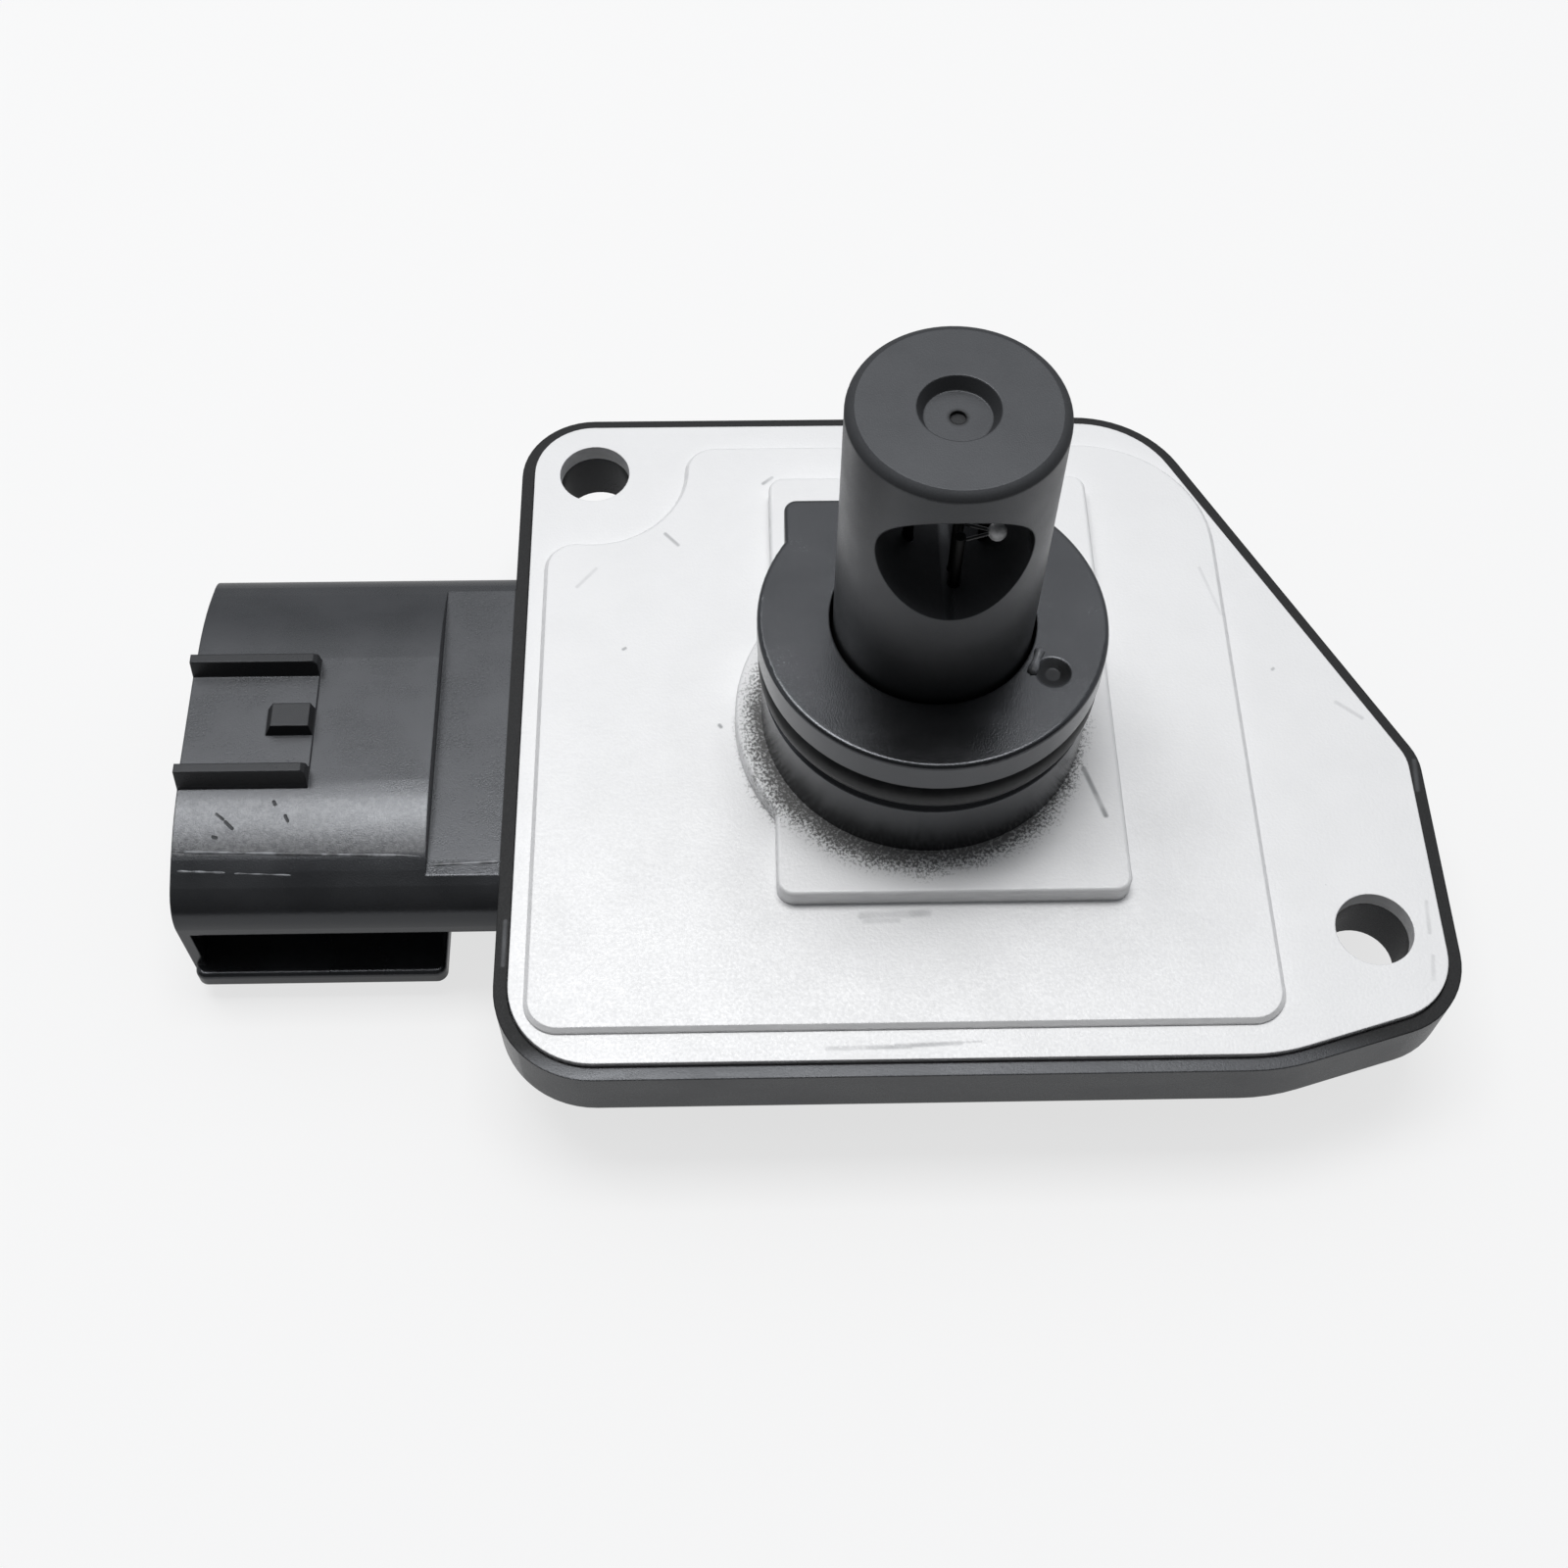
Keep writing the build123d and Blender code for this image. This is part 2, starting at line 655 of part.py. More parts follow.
def capacitor(x, y):
    """Small block capacitor under the board."""
    long, wide, high = CAPACITOR_SIZE
    return block((x - long / 2, x + long / 2), (y - wide / 2, y + wide / 2),
                 (board_foot() - high, board_foot()))


def build():
    """Every piece of the sensor by its node's name."""
    parts = {
        "housing": housing(),
        "base_plate": base_plate(),
        "plate_sealant": plate_bead(),
        "rear_cover": rear_cover(),
        "cover_sealant": cover_bead(),
        "spigot_bush": spigot_bush(),
        "ring_seal": ring_seal(),
        "probe_tube": probe_tube(),
        "pin_carrier": pin_carrier(),
        "hot_element": element(HOT_Y),
        "cold_element": element(COLD_Y),
        "air_bead": air_bead(),
        "circuit_board": circuit_board(),
        "control_chip": chip(CONTROL_X, CONTROL_Y, CONTROL_SIZE, CHIP_HEIGHT, CONTROL_LEGS),
        "driver_chip": chip(DRIVER_X, DRIVER_Y, DRIVER_SIZE, CHIP_HEIGHT, DRIVER_LEGS),
    }
    for name in pin_places():
        parts[name] = sensing_pin(name)
    for index, y in enumerate(terminal_positions()):
        parts[f"terminal_{index + 1}"] = terminal(y)
    for index in range(CAPACITOR_COUNT):
        y = CAPACITOR_Y + index * CAPACITOR_PITCH
        parts[f"capacitor_{index + 1}"] = capacitor(CAPACITOR_X, y)
    return parts


os.makedirs("parts", exist_ok=True)
for node, shape in build().items():
    export_step(shape, f"parts/{node}.step")
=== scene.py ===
import json
from math import cos, pi, radians, sin

import bmesh
import bpy
from mathutils import Matrix, Vector


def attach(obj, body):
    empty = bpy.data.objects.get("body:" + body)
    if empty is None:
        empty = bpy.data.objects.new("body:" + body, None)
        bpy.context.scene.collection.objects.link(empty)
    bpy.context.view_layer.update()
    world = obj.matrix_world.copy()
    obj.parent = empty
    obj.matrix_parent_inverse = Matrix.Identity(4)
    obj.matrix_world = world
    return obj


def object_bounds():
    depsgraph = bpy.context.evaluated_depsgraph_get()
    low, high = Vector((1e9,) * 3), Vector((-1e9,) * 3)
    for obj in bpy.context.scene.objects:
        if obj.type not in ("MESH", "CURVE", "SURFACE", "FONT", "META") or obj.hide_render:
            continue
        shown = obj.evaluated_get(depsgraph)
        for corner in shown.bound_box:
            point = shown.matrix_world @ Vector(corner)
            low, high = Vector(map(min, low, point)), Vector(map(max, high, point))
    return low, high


# Mass airflow sensor: finishes, small moulding marks, light and camera.
# X runs away from the connector, Y away from the viewer and Z up along the probe.
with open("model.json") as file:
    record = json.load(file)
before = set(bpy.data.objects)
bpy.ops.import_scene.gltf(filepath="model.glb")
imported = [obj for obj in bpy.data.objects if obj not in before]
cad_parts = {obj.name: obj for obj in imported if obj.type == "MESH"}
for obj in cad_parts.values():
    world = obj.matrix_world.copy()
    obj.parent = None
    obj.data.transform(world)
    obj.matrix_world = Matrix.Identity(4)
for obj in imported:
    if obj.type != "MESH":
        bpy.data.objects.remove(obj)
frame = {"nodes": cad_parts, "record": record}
nodes = frame["nodes"]
cad_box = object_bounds()

MM = 0.001

# Camera
CAMERA_X = -12.908 * MM
CAMERA_Y = -79.893 * MM
CAMERA_Z = 126.345 * MM
CAMERA_TILT = radians(59.291)
CAMERA_YAW = radians(2.139)
CAMERA_ROLL = radians(-1.134)
LENS = 46.511
SENSOR = 36.0

# Lamps: width, height, sideways place, distance, lean away from the viewer and watts
LAMPS = {
    "softbox": (0.46, 0.20, -0.08, 0.60, radians(13), 2.1),
    "far_panel": (1.00, 0.36, 0.0, 0.75, radians(38), 0.52),
}

# Room: its level on the far side and on the viewer's side, and between which directions it changes
ROOM_PALE = 0.42
ROOM_DARK = 0.06
ROOM_EDGE = (-0.30, 0.02)

# Floor: radius in metres, how pale it is seen, and how much of that its mirror images keep
FLOOR_SPREAD = 3.0
FLOOR_GLOW = 0.72
FLOOR_MIRRORED = 0.5

# Rounding of sharp edges, in millimetres
MOULD_EDGE = 0.16
METAL_EDGE = 0.12
BLOCK_EDGE = 0.08
WIRE_EDGE = 0.06
GLAZE_EDGE = 0.05

# Rubbed marks and pits seen from above: from, to and width in millimetres, and how strong
PLATE_MARKS = [
    ((11.4, -5.1), (12.6, -9.0), 0.45, 1.0),
    ((-4.9, -15.95), (-0.3, -15.8), 0.7, 0.45),
    ((-4.7, -16.35), (-2.4, -16.3), 0.5, 0.4),
    ((-7.6, -25.65), (-2.0, -25.6), 0.4, 0.6),
    ((-3.0, -25.55), (1.4, -25.4), 0.4, 0.6),
    ((0.4, -25.4), (2.8, -25.3), 0.2, 0.35),
    ((31.2, 1.6), (32.9, 0.2), 0.4, 0.4),
    ((34.9, -15.2), (34.7, -17.6), 0.35, 0.3),
    ((34.6, -19.4), (34.3, -21.2), 0.35, 0.25),
    ((-14.75, -0.1), (-14.65, -0.25), 0.35, 1.0),
    ((-21.95, 6.75), (-21.8, 6.85), 0.3, 0.8),
    ((26.85, 4.6), (26.95, 4.7), 0.3, 0.8),
    ((-18.9, 17.6), (-17.9, 16.5), 0.35, 0.6),
    ((-11.2, 22.5), (-10.5, 23.1), 0.35, 0.7),
    ((-25.6, 12.6), (-24.2, 14.3), 0.35, 0.35),
    ((22.4, 13.8), (23.5, 9.4), 0.3, 0.2),
]
HOUSING_MARKS = [
    ((-50.6, -7.3), (-50.1, -7.7), 0.2, 0.8),
    ((-49.9, -7.9), (-49.4, -8.4), 0.22, 1.0),
    ((-50.7, -9.0), (-50.5, -9.05), 0.25, 1.0),
    ((-46.6, -6.4), (-46.5, -6.6), 0.25, 0.8),
    ((-45.7, -7.5), (-45.5, -7.9), 0.22, 1.0),
]
RIM_MARKS = [
    ((-24.8, -27.3), (-21.4, -27.1), 0.5, 0.9),
    ((-19.6, -27.4), (-16.9, -27.3), 0.4, 0.6),
    ((-15.0, -27.2), (-12.4, -27.2), 0.35, 0.5),
    ((-29.8, -18.9), (-29.8, -15.5), 0.35, 0.6),
    ((36.3, -3.3), (36.1, -5.8), 0.4, 0.4),
]

# Places seen from above, in millimetres
BOLT_HOLES = [(-24.6, 24.05), (30.9, -17.27)]
BOLT_HOLE_RADIUS = 2.75
AIR_BEAD = (2.75, -3.4)
AIR_BEAD_RADIUS = 0.6
BUSH_GATE = (7.8, -4.6)
BUSH_GATE_RADIUS = 1.25
CAP_GATE = (0.0, 0.0)
CAP_GATE_RADIUS = 0.5
CAP_LOW = 33.4

# Painted shade and painted reflection of the bush on the plate round the bush's foot: its middle, and how
# far out it is dense and ends
FOOT_SHADE_MIDDLE = (-0.6, -0.9)
FOOT_SHADE_DENSE = 10.8
FOOT_SHADE_END = 13.6

# Dull rim round the plate: its level, its end towards the connector, and where it fades at the near side
RIM_TOP = -0.45
RIM_LEFT = -30.4
RIM_NEAR = (-27.2, -24.8)

# Connector: end of its ribs, its smooth lower side, and the edges, end and lowest level of its painted
# sheen band
RIB_END = -44.0
SMOOTH_SIDE = (-10.7, -10.45)
SMOOTH_END = -28.4
SHEEN_BAND_NEAR = (-10.4, -10.1)
SHEEN_BAND_FAR = (-6.6, -5.6)
SHEEN_BAND_END = -35.6
SHEEN_BAND_LOW = -1.4

# Crown of the connector: flat half width, radius, greatest slope, middle and level of its top
CROWN_FLAT = 5.3
CROWN_RADIUS = 18.0
CROWN_SLOPE = radians(22)
CROWN_MIDDLE = 0.6
SHELL_TOP = 1.0

# Lines that the moulds leave: from and to, seen from above, with width and height
SHELL_LINES = {
    "connector_parting_line": ((-53.4, -10.0), (-35.75, -10.5), 0.3, 0.16),
    "connector_witness_line_1": ((-53.2, -11.3), (-49.6, -11.45), 0.2, 0.13),
    "connector_witness_line_2": ((-49.2, -11.5), (-44.9, -11.67), 0.16, 0.12),
}
NECK_LINE = ((-35.4, -10.95), (-30.3, -10.75), 0.34, 0.16)
GATE_BURR = ((6.3, -4.8), (7.14, -2.64), 0.75, 0.35)
BURR_LEVEL = 13.72


class Wire:
    """One output in a node tree. Arithmetic on wires adds Math nodes."""

    def __init__(self, nodes, socket):
        self.nodes = nodes
        self.socket = socket

    def maths(self, operation, *values):
        return self.nodes.node("ShaderNodeMath", {"operation": operation}, dict(enumerate(values)))

    def vector_maths(self, operation, other, output=0):
        values = {0: self, 1: other}
        return self.nodes.node("ShaderNodeVectorMath", {"operation": operation}, values, output)

    def __add__(self, other):
        return self.maths("ADD", self, other)

    __radd__ = __add__

    def __sub__(self, other):
        return self.maths("SUBTRACT", self, other)

    def __rsub__(self, other):
        return self.maths("SUBTRACT", other, self)

    def __mul__(self, other):
        return self.maths("MULTIPLY", self, other)

    __rmul__ = __mul__

    def larger(self, other):
        return self.maths("MAXIMUM", self, other)

    def clamped(self):
        return self.nodes.node("ShaderNodeClamp", {}, {0: self})

    def ramp(self, low, high, start=0.0, end=1.0):
        """Goes smoothly from start to end as the value goes from low to high."""
        values = {0: self, 1: low, 2: high, 3: start, 4: end}
        return self.nodes.node("ShaderNodeMapRange", {"interpolation_type": "SMOOTHSTEP"}, values)


class NodeTree:
    """An empty node tree and the one method that adds a node to it."""

    def __init__(self, owner):
        owner.use_nodes = True
        self.tree = owner.node_tree
        self.tree.nodes.clear()

    def node(self, kind, settings, inputs, output=0):
        """Adds a node: its settings first, then the values or wires of its sockets."""
        made = self.tree.nodes.new(kind)
        for name, value in settings.items():
            setattr(made, name, value)
        for key, value in inputs.items():
            if isinstance(value, Wire):
                self.tree.links.new(value.socket, made.inputs[key])
            else:
                made.inputs[key].default_value = value
        return Wire(self, made.outputs[output]) if made.outputs else None


class Finish(NodeTree):
    """The node tree of one material, read in millimetres of the sensor's own frame."""

    def __init__(self, name):
        self.material = bpy.data.materials.new(name)
        super().__init__(self.material)
        self.here = self.point()

    def point(self):
        """Place on the sensor in millimetres."""
        place = self.node("ShaderNodeTexCoord", {}, {}, "Object")
        settings = {"operation": "SCALE"}
        return self.node("ShaderNodeVectorMath", settings, {"Vector": place, "Scale": 1 / MM})

    def across(self, axis):
        """One coordinate of the place, in millimetres."""
        return self.node("ShaderNodeSeparateXYZ", {}, {0: self.here}, axis)

    def facing(self, axis):
        """How far the surface faces along an axis, from -1 to 1."""
        normal = self.node("ShaderNodeTexCoord", {}, {}, "Normal")
        return self.node("ShaderNodeSeparateXYZ", {}, {0: normal}, axis)

    def noise(self, grain, detail=2.0, stretch=(1.0, 1.0, 1.0), roughness=0.5):
        """Cloudy pattern from about 0.3 to 0.7, whose blobs are about grain millimetres wide."""
        scaled = self.here.vector_maths("MULTIPLY", stretch)
        values = {"Vector": scaled, "Scale": 1 / grain, "Detail": detail, "Roughness": roughness}
        return self.node("ShaderNodeTexNoise", {}, values, 0)

    def specks(self, spacing, size):
        """Mask of round specks of about size millimetres, spacing apart."""
        values = {"Vector": self.here, "Scale": 1 / spacing}
        far = self.node("ShaderNodeTexVoronoi", {"feature": "F1"}, values, 0)
        return far.ramp(0.3 * size / spacing, 0.6 * size / spacing, 1.0, 0.0)

    def stroke(self, start, end, width):
        """Mask of a straight mark between two places on the plate, seen from above."""
        begin = Vector((*start, 0))
        run = Vector((*end, 0)) - begin
        flat = self.here.vector_maths("MULTIPLY", (1.0, 1.0, 0.0))
        reach = flat.vector_maths("SUBTRACT", begin)
        along = reach.vector_maths("DOT_PRODUCT", run / run.length_squared, "Value").clamped()
        settings = {"operation": "SCALE"}
        nearest = self.node("ShaderNodeVectorMath", settings, {"Vector": tuple(run), "Scale": along})
        away = reach.vector_maths("DISTANCE", nearest, "Value")
        return away.ramp(0.1 * width, 0.65 * width, 1.0, 0.0)

    def marks(self, places):
        """Mask of soft straight marks, each from, to, width in millimetres and how strong."""
        uneven = self.noise(2.2, 1.0).ramp(0.3, 0.65, 0.55, 1.0)
        mask = uneven * 0
        for start, end, width, depth in places:
            mask = mask.larger(self.stroke(start, end, width) * uneven * depth)
        return mask

    def distance(self, centre):
        """Distance in millimetres from an upright axis through a place on the plate."""
        flat = self.here.vector_maths("MULTIPLY", (1.0, 1.0, 0.0))
        return flat.vector_maths("DISTANCE", (*centre, 0.0), "Value")

    def disc(self, centre, radius):
        """Mask of a round place seen from above."""
        return self.distance(centre).ramp(radius, radius + 0.15, 1.0, 0.0)

    def blend(self, mask, first, second):
        """Colour that goes from the first to the second as the mask goes from 0 to 1."""
        values = {0: mask, 6: first, 7: second}
        return self.node("ShaderNodeMix", {"data_type": "RGBA"}, values, 2)

    def rounded(self, radius):
        """Normal that rounds sharp edges by a radius in millimetres."""
        return self.node("ShaderNodeBevel", {"samples": 6}, {"Radius": radius * MM})

    def worn(self, rounded, low=0.02, high=0.2):
        """Mask of the sharp edges, from how far the rounded normal leaves the true one."""
        true = self.node("ShaderNodeNewGeometry", {}, {}, "True Normal")
        same = rounded.vector_maths("DOT_PRODUCT", true, "Value")
        return (1 - same).ramp(low, high)

    def bump(self, height, depth, normal):
        """Bump of a height from 0 to 1 that stands depth millimetres high."""
        values = {"Strength": 1.0, "Distance": depth * MM, "Height": height, "Normal": normal}
        return self.node("ShaderNodeBump", {}, values)

    def shader(self, **sockets):
        """Principled shader with the sockets that are named."""
        values = {name.replace("_", " "): value for name, value in sockets.items()}
        return self.node("ShaderNodeBsdfPrincipled", {}, values)

    def finish(self, **sockets):
        """Ends the tree in a Principled shader and gives back the material."""
        return self.ended(self.shader(**sockets))

    def ended(self, shader):
        """Takes a shader to the surface and gives back the material."""
        self.node("ShaderNodeOutputMaterial", {}, {"Surface": shader})
        return self.material


def grey(level, tint=(1.0, 1.0, 1.0)):
    """Opaque colour of a level of grey, with a slight tint."""
    return (*(level * part for part in tint), 1.0)


COOL = (0.96, 0.99, 1.045)
WARM = (1.03, 1.0, 0.95)


class MouldedBlack(Finish):
    """Black glass-filled nylon: fine spark grain, faint flow marks, rubbed edges, and upward faces paler
    from dust and painted light.
    """

    def __init__(self, name, level=0.012, roughness=0.3, grain=0.1, dust_and_top_light=0.02, rub=0.2, gloss=0.85):
        super().__init__(name)
        self.level = level
        self.gloss = gloss
        self.edge = self.rounded(MOULD_EDGE)
        self.fine = self.noise(grain, 2.0)
        cloudy = self.noise(5.0, 4.0)
        flow = self.noise(1.6, 3.0, (0.25, 1.0, 1.0))
        rubbed = self.worn(self.edge) * self.noise(0.8, 2.0).ramp(0.4, 0.65)
        # Upward faces are paler: partly dust, partly painted light on the tops.
        dust_and_top_light_mask = self.facing("Z").ramp(0.2, 1.0) * cloudy.ramp(0.3, 0.7, 0.5, 1.0)
        dust_and_top_lit_colour = self.blend(dust_and_top_light_mask, grey(level, COOL), grey(level + dust_and_top_light, COOL))
        self.colour = self.blend(rubbed * rub, dust_and_top_lit_colour, grey(0.1, COOL))
        self.rough = roughness + (cloudy - 0.5) * 0.16 + (flow - 0.5) * 0.1 + (self.fine - 0.5) * 0.2
        self.height = self.fine + flow * 0.35

    def satin(self):
        """Satin shader of the moulded skin."""
        return self.shader(Base_Color=self.colour, Roughness=self.rough.clamped(),
                           Normal=self.bump(self.height, 0.01, self.edge), IOR=1.5,
                           Specular_IOR_Level=self.gloss, Specular_Tint=grey(1.0, COOL))

    def duller(self, places, colour):
        """Ends the tree in the satin skin, matt and of a plain colour where the mask of places is 1."""
        matt = self.shader(Base_Color=colour, Roughness=0.6 + (self.fine - 0.5) * 0.3,
                           Normal=self.bump(self.fine, 0.02, self.edge), IOR=1.5, Specular_IOR_Level=0.36)
        return self.ended(self.node("ShaderNodeMixShader", {}, {0: places, 1: self.satin(), 2: matt}))


def dull_places(f):
    """Mask of the housing's rim round the plate, its bolt holes, ribs and catch."""
    rim = f.across("Z").ramp(RIM_TOP - 0.15, RIM_TOP - 0.05)
    rim = rim * f.across("X").ramp(RIM_LEFT - 0.1, RIM_LEFT) * f.across("Y").ramp(*RIM_NEAR, 0.3, 1.0)
    ribs = f.across("Z").ramp(SHELL_TOP + 0.25, SHELL_TOP + 0.4)
    places = rim.larger(ribs * f.across("X").ramp(RIB_END - 0.1, RIB_END, 0.6, 0.0))
    for hole in BOLT_HOLES:
        places = places.larger(f.disc(hole, BOLT_HOLE_RADIUS + 0.1) * 0.6)
    return places


def painted_sheen_band(f):
    """Mask of the mottled band of painted sheen along the connector's near shoulder."""
    band = f.across("Y").ramp(*SHEEN_BAND_NEAR) * f.across("Y").ramp(*SHEEN_BAND_FAR, 1.0, 0.0)
    band = band * f.across("X").ramp(SHEEN_BAND_END - 0.2, SHEEN_BAND_END, 1.0, 0.0)
    band = band * f.across("Z").ramp(SHEEN_BAND_LOW - 0.2, SHEEN_BAND_LOW)
    return band * f.noise(0.35, 3.0, roughness=0.7).ramp(0.35, 0.65, 0.25, 1.0)


def housing_black():
    """Housing: pits and a painted mottled sheen band on the connector, smoother below its parting line, and
    a dull rim.
    """
    f = MouldedBlack("housing_black")
    pits = (f.marks(HOUSING_MARKS) * 1.8).clamped()
    smooth = f.across("X").ramp(SMOOTH_END - 0.2, SMOOTH_END, 1.0, 0.0)
    smooth = smooth * f.across("Y").ramp(*SMOOTH_SIDE, 1.0, 0.0)
    # The band along the near shoulder is painted paler as a mottled sheen.
    sheen_banded = f.blend(painted_sheen_band(f), f.colour, grey(0.15))
    f.colour = f.blend(pits, sheen_banded, grey(f.level * 0.4))
    f.rough = f.rough + pits * 0.3 - smooth * 0.14
    f.height = f.height - pits * 3
    return f.duller(dull_places(f), f.blend(f.marks(RIM_MARKS), grey(f.level, COOL), grey(0.2, COOL)))


def bush_black():
    """Bush: glossier, with a dull torn gate."""
    f = MouldedBlack("bush_black", level=0.007, roughness=0.2, grain=0.09, dust_and_top_light=0.008, rub=0.1, gloss=1.0)
    gate = f.distance(BUSH_GATE).ramp(0.9, BUSH_GATE_RADIUS + 0.1, 0.75, 0.0)
    return f.duller(gate, grey(f.level, COOL))


def tube_black():
    """Probe tube: duller round the cap's edge and in the cap's gate."""
    f = MouldedBlack("tube_black", level=0.012, roughness=0.36, grain=0.09, dust_and_top_light=0.014, rub=0.0)
    turned = f.facing("Z").ramp(0.05, 0.3) * f.facing("Z").ramp(0.996, 0.9998, 1.0, 0.0)
    f.rough = f.rough + turned * 0.45
    gate = f.distance(CAP_GATE).ramp(CAP_GATE_RADIUS, CAP_GATE_RADIUS + 0.3, 0.8, 0.0)
    return f.duller(gate * f.across("Z").ramp(CAP_LOW, CAP_LOW + 0.2), grey(f.level, COOL))


def cover_black():
    """Rear cover."""
    f = MouldedBlack("cover_black", roughness=0.42)
    return f.ended(f.satin())


def carrier_plastic():
    """Moulded core that holds the pins."""
    f = MouldedBlack("carrier_plastic", level=0.008, roughness=0.5, dust_and_top_light=0.004)
    return f.ended(f.satin())


def rubbed_flash_painted_highlight():
    """Paler plastic along the lines that the moulds leave and on the gate burr: partly rubbed flash, partly
    a painted highlight.
    """
    f = Finish("rubbed_flash_painted_highlight")
    fine = f.noise(0.2, 2.0)
    colour = f.blend(f.noise(0.9, 2.0).ramp(0.35, 0.65), grey(0.1, COOL), grey(0.3, COOL))
    return f.finish(Base_Color=colour, Roughness=0.3 + (fine - 0.5) * 0.2)


def cast_metal():
    """Pale cast base plate: blasted skin, rub marks, a few dark nicks, sides painted a little darker as
    shade, and painted shade and reflection of the bush round the bush's foot.
    """
    f = Finish("cast_plate")
    rounded = f.rounded(METAL_EDGE)
    skin = f.noise(0.22, 3.0)
    cloudy = f.noise(5.0, 3.0)
    drawn = f.noise(0.5, 3.0, (0.2, 1.0, 1.0))
    nicks = f.marks(PLATE_MARKS)
    dots = f.specks(6.5, 0.14) * cloudy.ramp(0.5, 0.6)
    level_skin = f.blend(cloudy.ramp(0.35, 0.7), grey(0.92), grey(0.9))
    # The sides have the drawn cast finish and are also painted darker than the tops as shade.
    cast_side_with_painted_shade = f.blend(drawn.ramp(0.35, 0.65), grey(0.76), grey(0.84))
    base = f.blend(f.facing("Z").ramp(0.55, 0.9), cast_side_with_painted_shade, level_skin)
    marked = f.blend(nicks * 0.85, base, grey(0.2, COOL))
    dotted = f.blend(dots * 0.4, marked, grey(0.25))
    grains = f.noise(0.22, 2.0, roughness=0.7).ramp(0.37, 0.63)
    # Painted shade and painted reflection of the dark bush round its foot, speckled by the grains: darker
    # colour, less metal, rougher
    reach = f.distance(FOOT_SHADE_MIDDLE) + (f.noise(2.5, 3.0) - 0.5) * 1.6
    near = reach.ramp(FOOT_SHADE_DENSE, FOOT_SHADE_END, 1.0, 0.0)
    painted_foot_shade = (near * 1.7 - grains).clamped()
    foot_shaded_colour = f.blend(painted_foot_shade * 0.88, dotted, grey(0.08, WARM))
    rough = 0.46 + (skin - 0.5) * 0.4 + (cloudy - 0.5) * 0.08 + (drawn - 0.5) * 0.08 + painted_foot_shade * 0.3
    height = skin + drawn * 0.25 - nicks * 0.3 + painted_foot_shade * grains
    return f.finish(Base_Color=foot_shaded_colour, Metallic=0.12 - painted_foot_shade * 0.12, Roughness=rough.clamped(),
                    Normal=f.bump(height, 0.016, rounded))


def sealant():
    """Cured silicone: soft sheen, slight lumps."""
    f = Finish("sealant")
    lumps = f.noise(0.8, 3.0)
    colour = f.blend(lumps.ramp(0.35, 0.65), grey(0.3, COOL), grey(0.38))
    rough = 0.45 + (lumps - 0.5) * 0.2
    plain = f.rounded(METAL_EDGE)
    return f.finish(Base_Color=colour, Roughness=rough, Normal=f.bump(lumps, 0.05, plain))


def ring_rubber():
    """Black ring seal with a trace of grease along it."""
    f = Finish("ring_rubber")
    fine = f.noise(0.15, 3.0)
    bloom = f.noise(1.4, 3.0)
    colour = f.blend(bloom.ramp(0.4, 0.7), grey(0.009, COOL), grey(0.02, COOL))
    rough = 0.42 + (bloom - 0.5) * 0.3 + (fine - 0.5) * 0.2
    plain = f.rounded(METAL_EDGE)
    return f.finish(Base_Color=colour, Roughness=rough, Normal=f.bump(fine, 0.01, plain))


def drawn_metal(name, colour, roughness, stretch):
    """Drawn or stamped metal with fine lines along it."""
    f = Finish(name)
    rounded = f.rounded(WIRE_EDGE)
    lines = f.noise(0.09, 3.0, stretch)
    stain = f.noise(1.2, 3.0)
    tinted = f.blend(stain.ramp(0.4, 0.7), colour, tuple(0.82 * part for part in colour[:3]) + (1.0,))
    rough = roughness + (lines - 0.5) * 0.25 + (stain - 0.5) * 0.1
    return f.finish(Base_Color=tinted, Metallic=1.0, Roughness=rough.clamped(),
                    Normal=f.bump(lines, 0.006, rounded))


def glazed(name, colour, roughness):
    """Glass-coated ceramic of the sensing elements, with the bead's leads painted dark as shade."""
    f = Finish(name)
    mottle = f.noise(0.3, 3.0)
    tinted = f.blend(mottle.ramp(0.4, 0.7), colour, tuple(0.8 * part for part in colour[:3]) + (1.0,))
    if name == "bead_coat":
        # Round the bead its leads are painted near black as shade of the air passage.
        painted_lead_shade = f.distance(AIR_BEAD).ramp(AIR_BEAD_RADIUS - 0.1, AIR_BEAD_RADIUS + 0.1)
        tinted = f.blend(painted_lead_shade, tinted, grey(0.03))
    rough = roughness + (mottle - 0.5) * 0.15
    plain = f.rounded(GLAZE_EDGE)
    return f.finish(Base_Color=tinted, Roughness=rough, Coat_Weight=0.6,
                    Normal=f.bump(mottle, 0.01, plain))


def board_laminate():
    """Pale ceramic substrate with printed conductor tracks."""
    f = Finish("board_laminate")
    values = {"Vector": f.here, "Scale": 0.55}
    bricks = f.node("ShaderNodeTexVoronoi", {"feature": "DISTANCE_TO_EDGE"}, values, 0)
    tracks = bricks.ramp(0.03, 0.05, 1.0, 0.0)
    grain = f.noise(0.3, 2.0)
    base = f.blend(grain.ramp(0.3, 0.7), grey(0.72, WARM), grey(0.66, WARM))
    colour = f.blend(tracks * 0.7, base, grey(0.4, (1.0, 0.96, 0.85)))
    plain = f.rounded(BLOCK_EDGE)
    return f.finish(Base_Color=colour, Roughness=0.5 + (grain - 0.5) * 0.2,
                    Normal=f.bump(tracks + grain * 0.2, 0.02, plain))


